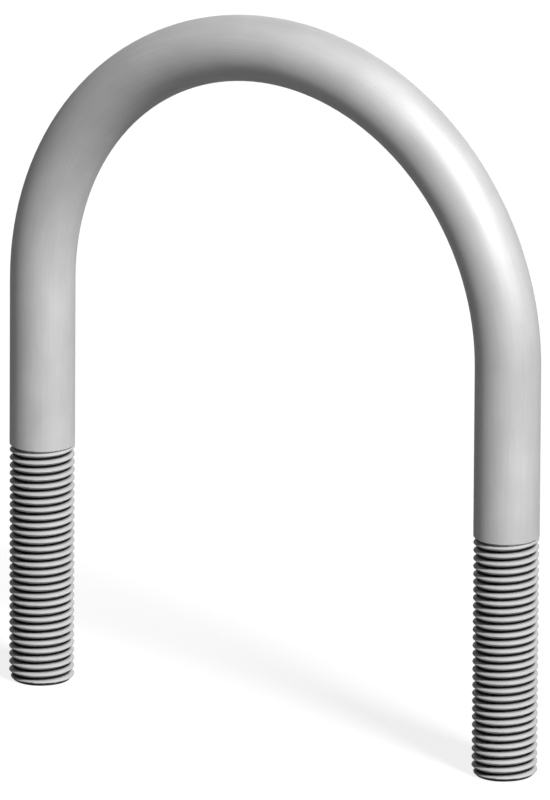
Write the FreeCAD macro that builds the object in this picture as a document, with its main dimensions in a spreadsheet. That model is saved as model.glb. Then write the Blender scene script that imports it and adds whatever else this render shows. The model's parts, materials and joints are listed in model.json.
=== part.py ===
"""Pipe u-bolt: one round steel bar, bent to a half circle between two threaded legs.

Millimetres. The bolt stands on the cut ends of its legs. The origin lies midway between them
on the floor, X runs from leg to leg, Y along the pipe that the bend goes over, and Z up.
Each leg is turned to the thread's outside diameter over the threaded length. The screw's
groove is finer than the solid's detail and isn't cut into it.
"""
import FreeCAD, Part
import enum
import math
import os
import Sketcher

Vector = FreeCAD.Vector

SIZES = {
    "rod_diameter": 16.0,  # the bar, as it is on the shanks and round the bend
    "bend_inner_diameter": 120.0,  # clear width between the legs, where the pipe lies
    "leg_length": 102.0,  # a straight leg, from its cut end up to the bend
    "thread_length": 60.0,  # the threaded stretch of a leg, from its cut end
    "thread_relief": 0.05,  # how far the thread's crests lie under the bar's surface
    "end_chamfer": 1.0,  # 45 degree chamfer round a cut end
}

# Sizes that several sketches share, worked out from the sheet
LEG_AXIS = "(sizes.bend_inner_diameter + sizes.rod_diameter) / 2"
CREST_RADIUS = "sizes.rod_diameter / 2 - sizes.thread_relief"
leg_axis = (SIZES["bend_inner_diameter"] + SIZES["rod_diameter"]) / 2
crest_radius = SIZES["rod_diameter"] / 2 - SIZES["thread_relief"]

FULL_TURN = 360  # degrees

# The sketcher's own number for a sketch's horizontal axis, whose start point is the origin
HORIZONTAL_AXIS = -1


class At(enum.IntEnum):
    """Which point of a line, arc or circle a sketch rule is about, counted as the sketcher does."""

    START = enum.auto()
    END = enum.auto()
    CENTRE = enum.auto()


def make_sheet(doc):
    """The driving dimensions, one row each, with the name as the value's alias."""
    sheet = doc.addObject("Spreadsheet::Sheet", "sizes")
    for row, (name, value) in enumerate(SIZES.items(), start=1):
        sheet.set(f"A{row}", name)
        sheet.set(f"B{row}", str(value))
        sheet.setAlias(f"B{row}", name)
    doc.recompute()


def origin_plane(body, role):
    return next(f for f in body.Origin.OriginFeatures if f.Role == role)


def make_sketch(body, name, role):
    """An empty sketch on one of the body's own origin planes."""
    sketch = body.newObject("Sketcher::SketchObject", name)
    sketch.AttachmentSupport = [(origin_plane(body, role), "")]
    sketch.MapMode = "FlatFace"
    return sketch


def relate(sketch, *rules):
    for rule in rules:
        sketch.addConstraint(Sketcher.Constraint(*rule))


def dimension(sketch, name, expression, *rule):
    """A named dimension of a sketch, tied to the sheet."""
    sketch.renameConstraint(sketch.addConstraint(Sketcher.Constraint(*rule)), name)
    sketch.setExpression(f"Constraints.{name}", expression)


def draw_centre_line(body):
    """The bar's centre line: right leg, half circle, left leg. It is upright, in the XZ plane."""
    length = SIZES["leg_length"]
    right_foot, right_top = Vector(leg_axis, 0, 0), Vector(leg_axis, length, 0)
    left_foot, left_top = Vector(-leg_axis, 0, 0), Vector(-leg_axis, length, 0)
    circle = Part.Circle(Vector(0, length, 0), Vector(0, 0, 1), leg_axis)

    sketch = make_sketch(body, "centre_line", "XZ_Plane")
    right_leg = sketch.addGeometry(Part.LineSegment(right_foot, right_top))
    bend = sketch.addGeometry(Part.ArcOfCircle(circle, 0, math.pi))
    left_leg = sketch.addGeometry(Part.LineSegment(left_top, left_foot))
    relate(
        sketch,
        ("Vertical", right_leg),
        ("Vertical", left_leg),
        ("Tangent", right_leg, At.END, bend, At.START),
        ("Tangent", bend, At.END, left_leg, At.START),
        ("PointOnObject", right_leg, At.START, HORIZONTAL_AXIS),
        ("Symmetric", right_leg, At.START, left_leg, At.END, HORIZONTAL_AXIS, At.START),
    )
    dimension(sketch, "bend_radius", LEG_AXIS, "Radius", bend, leg_axis)
    dimension(
        sketch, "leg_length", "sizes.leg_length",
        "DistanceY", right_leg, At.START, right_leg, At.END, length,
    )
    return sketch


def draw_bar_section(body):
    """The bar's round section at the right leg's cut end."""
    diameter = SIZES["rod_diameter"]
    circle = Part.Circle(Vector(leg_axis, 0, 0), Vector(0, 0, 1), diameter / 2)

    sketch = make_sketch(body, "bar_section", "XY_Plane")
    section = sketch.addGeometry(circle)
    relate(sketch, ("PointOnObject", section, At.CENTRE, HORIZONTAL_AXIS))
    dimension(
        sketch, "leg_axis", LEG_AXIS,
        "DistanceX", HORIZONTAL_AXIS, At.START, section, At.CENTRE, leg_axis,
    )
    dimension(sketch, "rod_diameter", "sizes.rod_diameter", "Diameter", section, diameter)
    return sketch


def draw_thread_turning(body):
    """What is turned off the right leg, right of its axis: down to the crests, with a chamfered end."""
    length, chamfer = SIZES["thread_length"], SIZES["end_chamfer"]
    outside = SIZES["rod_diameter"]  # twice the bar's radius, so well clear of its surface
    profile = [
        Vector(leg_axis + crest_radius - chamfer, 0, 0),
        Vector(leg_axis + crest_radius, chamfer, 0),
        Vector(leg_axis + crest_radius, length, 0),
        Vector(leg_axis + outside, length, 0),
        Vector(leg_axis + outside, 0, 0),
    ]

    sketch = make_sketch(body, "thread_turning_profile", "XZ_Plane")
    slope, crest, shoulder, outer, floor = (
        sketch.addGeometry(Part.LineSegment(a, b))
        for a, b in zip(profile, profile[1:] + profile[:1])
    )
    axis_line = Part.LineSegment(Vector(leg_axis, 0, 0), Vector(leg_axis, length, 0))
    axis = sketch.addGeometry(axis_line, True)
    relate(
        sketch,
        ("Coincident", slope, At.END, crest, At.START),
        ("Coincident", crest, At.END, shoulder, At.START),
        ("Coincident", shoulder, At.END, outer, At.START),
        ("Coincident", outer, At.END, floor, At.START),
        ("Coincident", floor, At.END, slope, At.START),
        ("Vertical", crest),
        ("Horizontal", shoulder),
        ("Vertical", outer),
        ("PointOnObject", floor, At.START, HORIZONTAL_AXIS),
        ("PointOnObject", floor, At.END, HORIZONTAL_AXIS),
        ("Vertical", axis),
        ("PointOnObject", axis, At.START, HORIZONTAL_AXIS),
        ("Horizontal", axis, At.END, crest, At.END),
    )
    dimension(
        sketch, "leg_axis", LEG_AXIS,
        "DistanceX", HORIZONTAL_AXIS, At.START, axis, At.START, leg_axis,
    )
    dimension(
        sketch, "crest_radius", CREST_RADIUS,
        "DistanceX", axis, At.END, crest, At.END, crest_radius,
    )
    dimension(
        sketch, "thread_length", "sizes.thread_length",
        "DistanceY", axis, At.START, axis, At.END, length,
    )
    dimension(
        sketch, "outside_radius", "sizes.rod_diameter",
        "DistanceX", axis, At.START, floor, At.START, outside,
    )
    dimension(
        sketch, "chamfer_width", "sizes.end_chamfer",
        "DistanceX", slope, At.START, slope, At.END, chamfer,
    )
    dimension(
        sketch, "chamfer_height", "sizes.end_chamfer",
        "DistanceY", slope, At.START, slope, At.END, chamfer,
    )
    return sketch


def make_u_bolt(doc):
    """The bar swept along its centre line, then both legs turned for their threads."""
    body = doc.addObject("PartDesign::Body", "u_bolt")
    body.Label = "u_bolt"
    centre_line = draw_centre_line(body)
    section = draw_bar_section(body)
    doc.recompute()

    bar = body.newObject("PartDesign::AdditivePipe", "bent_bar")
    bar.Profile = (section, [""])
    bar.Spine = (centre_line, ["Edge1", "Edge2", "Edge3"])
    doc.recompute()

    profile = draw_thread_turning(body)
    right_turning = body.newObject("PartDesign::Groove", "right_thread_turning")
    right_turning.Profile = profile
    right_turning.ReferenceAxis = (profile, ["Axis0"])
    right_turning.Angle = FULL_TURN
    doc.recompute()

    both_turnings = body.newObject("PartDesign::Mirrored", "left_thread_turning")
    both_turnings.Originals = [right_turning]
    both_turnings.MirrorPlane = (origin_plane(body, "YZ_Plane"), [""])
    body.Tip = both_turnings
    body.Placement = FreeCAD.Placement()
    doc.recompute()

    first_cut = bar.Shape.Volume - right_turning.Shape.Volume
    second_cut = right_turning.Shape.Volume - both_turnings.Shape.Volume
    if first_cut <= 0 or not math.isclose(first_cut, second_cut, rel_tol=1e-6):
        raise RuntimeError(f"the legs aren't turned alike: {first_cut} and {second_cut} mm3")
    return body


def check(doc, bodies):
    """Every object is up to date, and every sub-part is one sound solid."""
    for thing in doc.Objects:
        if {"Invalid", "Error"} & set(thing.State):
            raise RuntimeError(f"{thing.Name} is {thing.State}")
    for body in bodies:
        shape = body.Shape
        if shape.isNull() or not shape.isValid() or len(shape.Solids) != 1:
            raise RuntimeError(f"{body.Label} isn't one valid solid")


doc = FreeCAD.newDocument("pipe_u_bolt")
make_sheet(doc)
bodies = [make_u_bolt(doc)]
check(doc, bodies)

os.makedirs("parts", exist_ok=True)
for body in bodies:
    body.Shape.exportStep(f"parts/{body.Label}.step")
    print(f"{body.Label}: {body.Shape.Volume:.1f} mm3")
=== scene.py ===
"""The looks of the pipe u-bolt: its rolled threads, its zinc finish, and a studio to see it in.

Metres and radians. The bolt is one bent bar, so it is one mesh: two threaded legs, two plain
shanks and the half circle between them. The solid has the bar, the bend and the turned legs.
What is added here is the thread itself, a right-hand M16 x 2 screw on each leg.
"""

import json
import math

import bmesh
import bpy
import numpy as np
from mathutils import Matrix, Vector


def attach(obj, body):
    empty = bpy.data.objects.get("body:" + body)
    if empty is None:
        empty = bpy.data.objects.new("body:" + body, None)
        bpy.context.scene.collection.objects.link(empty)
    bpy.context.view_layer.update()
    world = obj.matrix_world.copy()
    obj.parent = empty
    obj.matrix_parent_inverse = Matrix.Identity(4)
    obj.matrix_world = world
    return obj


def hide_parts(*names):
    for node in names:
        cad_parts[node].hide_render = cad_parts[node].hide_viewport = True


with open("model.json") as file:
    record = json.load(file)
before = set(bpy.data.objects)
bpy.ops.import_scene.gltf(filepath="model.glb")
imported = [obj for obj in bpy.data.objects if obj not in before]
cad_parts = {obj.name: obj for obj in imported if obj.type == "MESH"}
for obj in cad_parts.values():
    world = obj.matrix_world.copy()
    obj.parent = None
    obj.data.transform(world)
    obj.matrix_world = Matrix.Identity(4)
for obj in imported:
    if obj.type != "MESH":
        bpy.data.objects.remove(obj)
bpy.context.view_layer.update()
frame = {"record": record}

MM = 0.001
BODY = "root"
NODE = "u_bolt"

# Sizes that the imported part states
mounts = {mount["name"]: mount for mount in frame["record"]["mounts"]}
BAR_RADIUS = mounts["left_leg"]["dims"]["r_mm"] * MM
CREST_RADIUS = mounts["leg_pair"]["dims"]["stud_r_mm"] * MM
BEND_RADIUS = mounts["leg_pair"]["dims"]["spacing_x_mm"] * MM / 2
THREAD_TOP = mounts["leg_pair"]["pos_m"][2]
LEG_TOP = mounts["pipe_seat"]["pos_m"][2]
CHAMFER = mounts["left_leg"]["pos_m"][2]

# The thread: ISO coarse, with its crests rounded by the rolling dies
PITCH = 2 * MM
FLANK_SLOPE = math.radians(60)  # a flank against the leg's axis
WEAR_DEPTH = 0.12 * MM  # how far down from the crests the zinc is rubbed thin
GROOVE_START = math.radians(-20)  # where the groove's floor runs out through a leg's cut end
RUN_OUT_SLOPE = math.radians(55)  # the wall that ends the groove under the plain shank

# How finely the mesh is divided
SEGMENTS = 88  # round the bar
CREST_STEPS, FLANK_STEPS, ROOT_STEPS = 3, 3, 2  # from a crest's middle to a groove's floor
SPARE_TURNS = 2  # past each end of the thread, so that its climbing rows fill the leg
BEND_RINGS = 72
SHANK_RINGS = 6
WELD = 0.001 * MM  # points nearer to each other than this are one
SHARP_EDGE = math.radians(38)  # an edge that turns further than this isn't smoothed over

# The finish: its greys, from 0 for black to 1 for white
DULL_ZINC, BRIGHT_ZINC = 0.53, 0.6
DRAWN_LINE = 0.45
RUBBED_CREST = 0.4
# near black: the thread's thin oil film, and the painted shade in its grooves
FILM_AND_GROOVE_SHADE = 0.01
# painted shade on the chamfers and cut ends, which face down and away from the lamps
PAINTED_END_SHADE = 0.08

# The finish: how far a mark covers what lies under it, from 0 for not at all to 1 for all over
LINE_COVER = 0.3
WEAR_COVER = 0.35
FILM_COVER = 0.12  # the film of soil on the whole rolled thread
GROOVE_SHADE_COVER = 0.97  # the painted shade on a groove's floor
SHADE_TOP, SHADE_FLOOR = 0.42, 0.95  # shares of the thread's depth where that painted shade starts and is full

# The finish: how rough it is, from 0 for a mirror to 1 for chalk
SMOOTH_ZINC, ROUGH_ZINC = 0.58, 0.66
LINE_ROUGHNESS = 0.03  # more or less, from line to line
THREAD_ROUGHNESS = 0.14  # more on the rolled threads
FILM_AND_SHADE_ROUGHNESS = 0.3  # more where the thread's film or the painted groove shade is full

# The finish: how large its marks are, across and along the bar, and how high they stand
CLOUD_SIZE = 9 * MM, 14 * MM
LINE_SIZE = 0.3 * MM, 18 * MM
GRAIN_SIZE = 0.4 * MM, 0.4 * MM
RELIEF = 0.008 * MM
GRAIN_SHARE = 0.6  # of the lines' relief

# Between which values a noise goes from its lowest effect to its highest
SOFT_RANGE = 0.3, 0.7
CRISP_RANGE = 0.35, 0.65


def thread_section():
    """One pitch of the thread in rows: how far along the axis from a crest, and how deep."""
    half_flat = PITCH / 16  # half the crest's flat, which its fillet takes up
    crest_fillet = half_flat / math.tan(FLANK_SLOPE / 2)
    root_fillet = PITCH * math.sin(FLANK_SLOPE) / 6  # a sixth of the height with sharp corners
    sharp_depth = (PITCH / 2 - half_flat) * math.tan(FLANK_SLOPE)
    root_centre = sharp_depth - root_fillet / math.cos(FLANK_SLOPE)

    crest = [
        (crest_fillet * math.sin(a), crest_fillet * (1 - math.cos(a)))
        for a in np.linspace(0, FLANK_SLOPE, CREST_STEPS + 1)
    ]
    root = [
        (PITCH / 2 - root_fillet * math.sin(a), root_centre + root_fillet * math.cos(a))
        for a in np.linspace(FLANK_SLOPE, 0, ROOT_STEPS + 1)
    ]
    flank = list(np.linspace(crest[-1], root[0], FLANK_STEPS + 1)[1:-1])
    down = np.array(crest + flank + root)
    up = [(PITCH - along, depth) for along, depth in down[-2:0:-1]]
    return np.vstack([down, up])


SECTION = thread_section()
THREAD_DEPTH = SECTION[:, 1].max()


def chamfer_radius(z):
    return CREST_RADIUS - CHAMFER + z


def leg_radius(z, depth):
    """The threaded leg's radius at a height, where the thread lies that deep under its crests."""
    run_out = BAR_RADIUS - (THREAD_TOP - z) * math.tan(RUN_OUT_SLOPE)
    radius = np.maximum(CREST_RADIUS - depth, run_out)
    return np.minimum(radius, np.minimum(chamfer_radius(z), BAR_RADIUS))


def threaded_leg(x):
    """Points and faces of one threaded leg. The rows of the mesh climb with the thread."""
    rows_per_turn = len(SECTION)
    turns = np.arange(-SPARE_TURNS, math.ceil(THREAD_TOP / PITCH) + SPARE_TURNS)
    angles = np.arange(SEGMENTS) * math.tau / SEGMENTS

    row_height = (turns[:, None] * PITCH + SECTION[:, 0] + PITCH / 2).ravel()
    climb = PITCH * (angles - GROOVE_START) / math.tau
    height = row_height[:, None] + climb
    z = np.clip(height, 0, THREAD_TOP)
    along = (z - climb - PITCH / 2) % PITCH
    section = np.vstack([SECTION, (PITCH, 0)])
    radius = leg_radius(z, np.interp(along, section[:, 0], section[:, 1]))

    points = np.stack([x + radius * np.cos(angles), radius * np.sin(angles), z], axis=-1)
    shown = (height[1:] > 0) & (height[:-1] < THREAD_TOP)

    def index(row, column):
        """Past the last column a row goes on as the one that is a turn higher."""
        return (row + rows_per_turn * (column // SEGMENTS)) * SEGMENTS + column % SEGMENTS

    faces = [
        (index(i, j), index(i, j + 1), index(i + 1, j + 1), index(i + 1, j))
        for i in range(len(row_height) - 1 - rows_per_turn)
        for j in range(SEGMENTS)
        if shown[i, j] or shown[i, (j + 1) % SEGMENTS]
    ]
    return points.reshape(-1, 3), faces


def plain_bar():
    """Points and faces from thread to thread: up one shank, round the bend and down the other."""
    angles = np.arange(SEGMENTS) * math.tau / SEGMENTS
    outwards, sideways = BAR_RADIUS * np.cos(angles), BAR_RADIUS * np.sin(angles)
    shank = np.linspace(THREAD_TOP, LEG_TOP, SHANK_RINGS + 1)

    def ring(turn, z):
        reach = BEND_RADIUS + outwards
        return np.stack([reach * math.cos(turn), sideways, z + reach * math.sin(turn)], axis=-1)

    rings = [ring(0, z) for z in shank[:-1]]
    rings += [ring(turn, LEG_TOP) for turn in np.linspace(0, math.pi, BEND_RINGS + 1)]
    rings += [ring(math.pi, z) for z in shank[-2::-1]]
    faces = [
        (i * SEGMENTS + j, i * SEGMENTS + k, (i + 1) * SEGMENTS + k, (i + 1) * SEGMENTS + j)
        for i in range(len(rings) - 1)
        for j in range(SEGMENTS)
        for k in [(j + 1) % SEGMENTS]
    ]
    return np.vstack(rings), faces


def close_ends(bm):
    """A flat face over each leg's cut end, fanned from its middle."""
    open_edges = [edge for edge in bm.edges if edge.is_boundary]
    for x in (-BEND_RADIUS, BEND_RADIUS):
        middle = bm.verts.new((x, 0, 0))
        for edge in open_edges:
            if edge.verts[0].co.x * x > 0:
                bm.faces.new((edge.verts[0], edge.verts[1], middle))


def place_in_bar(co):
    """Where a point lay in the straight bar: outwards and sideways of its middle, and along it."""
    if co.z > LEG_TOP:
        turn = math.atan2(co.z - LEG_TOP, co.x)
        outwards = math.hypot(co.x, co.z - LEG_TOP) - BEND_RADIUS
        return outwards, co.y, LEG_TOP + BEND_RADIUS * turn
    along = co.z if co.x > 0 else 2 * LEG_TOP + math.pi * BEND_RADIUS - co.z
    return abs(co.x) - BEND_RADIUS, co.y, along


def make_u_bolt():
    """The whole bolt as one closed mesh, with what its finish needs to know at each point."""
    bm = bmesh.new()
    for points, faces in (threaded_leg(-BEND_RADIUS), threaded_leg(BEND_RADIUS), plain_bar()):
        verts = [bm.verts.new(point) for point in points]
        for face in faces:
            bm.faces.new([verts[i] for i in face])
    bmesh.ops.delete(bm, geom=[v for v in bm.verts if not v.link_faces], context="VERTS")
    bmesh.ops.remove_doubles(bm, verts=bm.verts, dist=WELD)
    bmesh.ops.dissolve_degenerate(bm, edges=bm.edges, dist=WELD)
    close_ends(bm)
    bmesh.ops.recalc_face_normals(bm, faces=bm.faces)
    for face in bm.faces:
        face.smooth = True

    mesh = bpy.data.meshes.new("threaded_u_bolt")
    bm.to_mesh(mesh)
    bm.free()
    mesh.set_sharp_from_angle(angle=SHARP_EDGE)

    places = np.array([place_in_bar(vertex.co) for vertex in mesh.vertices])
    height = np.array([vertex.co.z for vertex in mesh.vertices])
    radius = np.hypot(places[:, 0], places[:, 1])
    depth = CREST_RADIUS - radius
    cut = (height < WELD) | (radius > chamfer_radius(height) - WELD)
    rolled = ~cut & (height < THREAD_TOP - WELD)
    groove = np.where(rolled, np.clip(depth / THREAD_DEPTH, 0, 1), 0)
    wear = np.where(rolled, np.clip(1 - depth / WEAR_DEPTH, 0, 1), 0)
    mesh.attributes.new("bar_place", "FLOAT_VECTOR", "POINT").data.foreach_set(
        "vector", places.astype(np.float32).ravel()
    )
    for name, values in (("rolled", rolled), ("groove", groove), ("wear", wear), ("cut", cut)):
        mesh.attributes.new(name, "FLOAT", "POINT").data.foreach_set(
            "value", values.astype(np.float32)
        )
    piece = bpy.data.objects.new("threaded_u_bolt", mesh)
    bpy.context.scene.collection.objects.link(piece)
    return piece


class Nodes:
    """Adds nodes to a material or world. An input is given as a value or as the socket that feeds it."""

    def __init__(self, owner):
        owner.use_nodes = True
        self.tree = owner.node_tree
        self.tree.nodes.clear()

    def add(self, kind, inputs=None, **settings):
        node = self.tree.nodes.new(kind)
        for name, value in settings.items():
            setattr(node, name, value)
        for name, value in (inputs or {}).items():
            if isinstance(value, bpy.types.NodeSocket):
                self.tree.links.new(value, node.inputs[name])
            else:
                node.inputs[name].default_value = value
        return node

    def attribute(self, name):
        return self.add("ShaderNodeAttribute", attribute_name=name)

    def stretched(self, vector, across, along):
        """Coordinates that count sizes across and along the bar."""
        scale = (1 / across, 1 / across, 1 / along)
        return self.add("ShaderNodeVectorMath", {0: vector, 1: scale}, operation="MULTIPLY").outputs[0]

    def noise(self, vector, detail, roughness):
        inputs = {"Vector": vector, "Scale": 1.0, "Detail": detail, "Roughness": roughness}
        return self.add("ShaderNodeTexNoise", inputs).outputs["Fac"]

    def remap(self, value, low, high, to_low, to_high):
        inputs = {"Value": value, "From Min": low, "From Max": high, "To Min": to_low, "To Max": to_high}
        return self.add("ShaderNodeMapRange", inputs).outputs[0]

    def math(self, operation, a, b):
        return self.add("ShaderNodeMath", {0: a, 1: b}, operation=operation).outputs[0]

    def mix(self, factor, a, b):
        """A colour between a and b."""
        node = self.add("ShaderNodeMix", data_type="RGBA")
        for name, value in (("Factor_Float", factor), ("A_Color", a), ("B_Color", b)):
            socket = next(s for s in node.inputs if s.identifier == name)
            if isinstance(value, bpy.types.NodeSocket):
                self.tree.links.new(value, socket)
            else:
                socket.default_value = value
        return next(s for s in node.outputs if s.identifier == "Result_Color")


def grey(value):
    return (value, value, value, 1)


def zinc_finish():
    """Satin zinc over drawn steel: cloudy, finely lined along the bar, duller and lightly filmed on the
    rolled threads, with painted shade in their grooves and on the cut ends."""
    material = bpy.data.materials.new("zinc_plated_steel")
    nodes = Nodes(material)
    place = nodes.attribute("bar_place").outputs["Vector"]
    rolled = nodes.attribute("rolled").outputs["Fac"]
    groove = nodes.attribute("groove").outputs["Fac"]
    wear = nodes.attribute("wear").outputs["Fac"]
    cut = nodes.attribute("cut").outputs["Fac"]

    clouds = nodes.noise(nodes.stretched(place, *CLOUD_SIZE), detail=4.0, roughness=0.55)
    lines = nodes.noise(nodes.stretched(place, *LINE_SIZE), detail=3.0, roughness=0.6)
    grain = nodes.noise(nodes.stretched(place, *GRAIN_SIZE), detail=3.0, roughness=0.6)

    cloudy = nodes.remap(clouds, *SOFT_RANGE, 0, 1)
    plating = nodes.mix(cloudy, grey(DULL_ZINC), grey(BRIGHT_ZINC))
    line = nodes.remap(lines, *CRISP_RANGE, 0, LINE_COVER)
    lined = nodes.mix(line, plating, grey(DRAWN_LINE))
    rubbed = nodes.mix(nodes.math("MULTIPLY", wear, WEAR_COVER), lined, grey(RUBBED_CREST))
    film = nodes.math("MULTIPLY", rolled, FILM_COVER)
    # painted shade: the grooves go near black towards their floors, where shade falls
    groove_shade = nodes.remap(groove, SHADE_TOP, SHADE_FLOOR, 0, GROOVE_SHADE_COVER)
    # the real film over the whole thread, or the painted groove shade where that is darker
    film_and_shade = nodes.math("MAXIMUM", film, groove_shade)
    filmed_and_shaded = nodes.mix(film_and_shade, rubbed, grey(FILM_AND_GROOVE_SHADE))
    # painted shade: the chamfers and cut ends are darkened as if they lay in shadow
    colour = nodes.mix(cut, filmed_and_shaded, grey(PAINTED_END_SHADE))

    satin = nodes.remap(clouds, *SOFT_RANGE, SMOOTH_ZINC, ROUGH_ZINC)
    streaks = nodes.remap(lines, *SOFT_RANGE, -LINE_ROUGHNESS, LINE_ROUGHNESS)
    drawn = nodes.math("ADD", satin, streaks)
    dull_thread = nodes.math("MULTIPLY", rolled, THREAD_ROUGHNESS)
    dull_film_and_shade = nodes.math("MULTIPLY", film_and_shade, FILM_AND_SHADE_ROUGHNESS)
    dull = nodes.math("MAXIMUM", dull_thread, dull_film_and_shade)
    roughness = nodes.math("ADD", drawn, dull)
    height = nodes.math("ADD", lines, nodes.math("MULTIPLY", grain, GRAIN_SHARE))
    bump = nodes.add("ShaderNodeBump", {"Height": height, "Strength": 1.0, "Distance": RELIEF})

    surface = {"Base Color": colour, "Roughness": roughness, "Normal": bump.outputs[0]}
    shader = nodes.add(
        "ShaderNodeBsdfPrincipled", {**surface, "Metallic": 0.2, "Specular IOR Level": 0.0}
    )
    nodes.add("ShaderNodeOutputMaterial", {"Surface": shader.outputs[0]})
    return material


bolt = make_u_bolt()
bolt.data.materials.append(zinc_finish())
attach(bolt, BODY)
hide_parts(NODE)

# The studio: a white sweep that reaches past every view, a key lamp, a wide softbox beside it that
# only shows in the gloss, and a low lamp behind
FLOOR_SIZE = 12.0
FLOOR_BOUNCE = 0.1  # how pale the floor is to the light that it throws back onto the bolt
PAPER, PAPER_GLOW = 0.2, 0.84  # what the camera sees: white with the glow, and darker in a shadow
DIM_SKY = 0.01  # the sky's light on the bolt
WHITE = grey(1.0)


def seen_or_mirrored(nodes):
    """1 for what the camera sees straight, in gloss or through glass, and 0 for soft bounced light."""
    path = nodes.add("ShaderNodeLightPath").outputs
    straight = nodes.math("MAXIMUM", path["Is Camera Ray"], path["Is Glossy Ray"])
    return nodes.math("MAXIMUM", straight, path["Is Transmission Ray"])


def make_floor():
    half = FLOOR_SIZE / 2
    corners = [(-half, -half, 0), (half, -half, 0), (half, half, 0), (-half, half, 0)]
    mesh = bpy.data.meshes.new("floor")
    mesh.from_pydata(corners, [], [(0, 1, 2, 3)])
    floor = bpy.data.objects.new("floor", mesh)
    bpy.context.scene.collection.objects.link(floor)

    material = bpy.data.materials.new("floor")
    nodes = Nodes(material)
    bounce = nodes.add("ShaderNodeBsdfDiffuse", {"Color": grey(FLOOR_BOUNCE)})
    paper = nodes.add("ShaderNodeBsdfDiffuse", {"Color": grey(PAPER)})
    glow = nodes.add("ShaderNodeEmission", {"Color": WHITE, "Strength": PAPER_GLOW})
    sweep = nodes.add("ShaderNodeAddShader", {0: paper.outputs[0], 1: glow.outputs[0]})
    surface = nodes.add(
        "ShaderNodeMixShader",
        {0: seen_or_mirrored(nodes), 1: bounce.outputs[0], 2: sweep.outputs[0]},
    )
    nodes.add("ShaderNodeOutputMaterial", {"Surface": surface.outputs[0]})
    mesh.materials.append(material)
    return floor


def make_world():
    world = bpy.data.worlds.new("studio")
    bpy.context.scene.world = world
    nodes = Nodes(world)
    dim = nodes.add("ShaderNodeBackground", {"Color": WHITE, "Strength": DIM_SKY})
    white = nodes.add("ShaderNodeBackground", {"Color": WHITE, "Strength": 1.0})
    sky = nodes.add(
        "ShaderNodeMixShader", {0: seen_or_mirrored(nodes), 1: dim.outputs[0], 2: white.outputs[0]}
    )
    nodes.add("ShaderNodeOutputWorld", {"Surface": sky.outputs[0]})


def direction(azimuth, elevation):
    """Out from the bolt: azimuth 0 is towards -Y and 90 towards +X, elevation above the floor."""
    a, e = math.radians(azimuth), math.radians(elevation)
    return Vector((math.sin(a) * math.cos(e), -math.cos(a) * math.cos(e), math.sin(e)))


def add_lamp(name, azimuth, elevation, spread, strength, diffuse=True, glossy=True):
    """Parallel light, as wide in the sky as the spread, so both legs are lit alike."""
    lamp = bpy.data.lights.new(name, "SUN")
    lamp.angle = math.radians(spread)
    lamp.energy = strength
    item = bpy.data.objects.new(name, lamp)
    bpy.context.scene.collection.objects.link(item)
    item.rotation_mode = "QUATERNION"
    item.rotation_quaternion = direction(azimuth, elevation).to_track_quat("Z", "Y")
    item.visible_diffuse = diffuse
    item.visible_glossy = glossy


def make_camera():
    """A long lens from the photograph's angle, so far off that it draws almost without perspective."""
    lens, sensor = 1000, 36
    view_height = 0.19349  # what the picture's long side spans at the bolt
    azimuth, elevation, roll = 34.073, 16.408, 0.344
    aim_right, aim_down = 0.3 * MM, 18.8 * MM  # the picture's middle, seen from the bend's middle

    out = direction(azimuth, elevation)
    level = Vector((0, 0, 1)).cross(out).normalized()
    tilt = Matrix.Rotation(math.radians(roll), 3, out)
    right = tilt @ level
    up = tilt @ out.cross(level)
    aim = Vector((0, 0, LEG_TOP)) + aim_right * right - aim_down * up
    eye = aim + view_height * lens / sensor * out

    data = bpy.data.cameras.new("camera")
    data.lens = lens
    data.sensor_width = sensor
    data.clip_end = 50  # metres, far past the floor
    camera = bpy.data.objects.new("camera", data)
    bpy.context.scene.collection.objects.link(camera)
    rows = [(right[i], up[i], out[i], eye[i]) for i in range(3)]
    camera.matrix_world = Matrix(rows + [(0, 0, 0, 1)])
    bpy.context.scene.camera = camera


floor = make_floor()
make_world()
add_lamp("key", azimuth=68, elevation=42, spread=12, strength=4.0)
add_lamp("softbox", azimuth=66, elevation=42, spread=24, strength=5.4, diffuse=False)
add_lamp("behind", azimuth=212, elevation=10, spread=30, strength=1.2, glossy=False)
make_camera()
bpy.context.scene.view_settings.view_transform = "Standard"
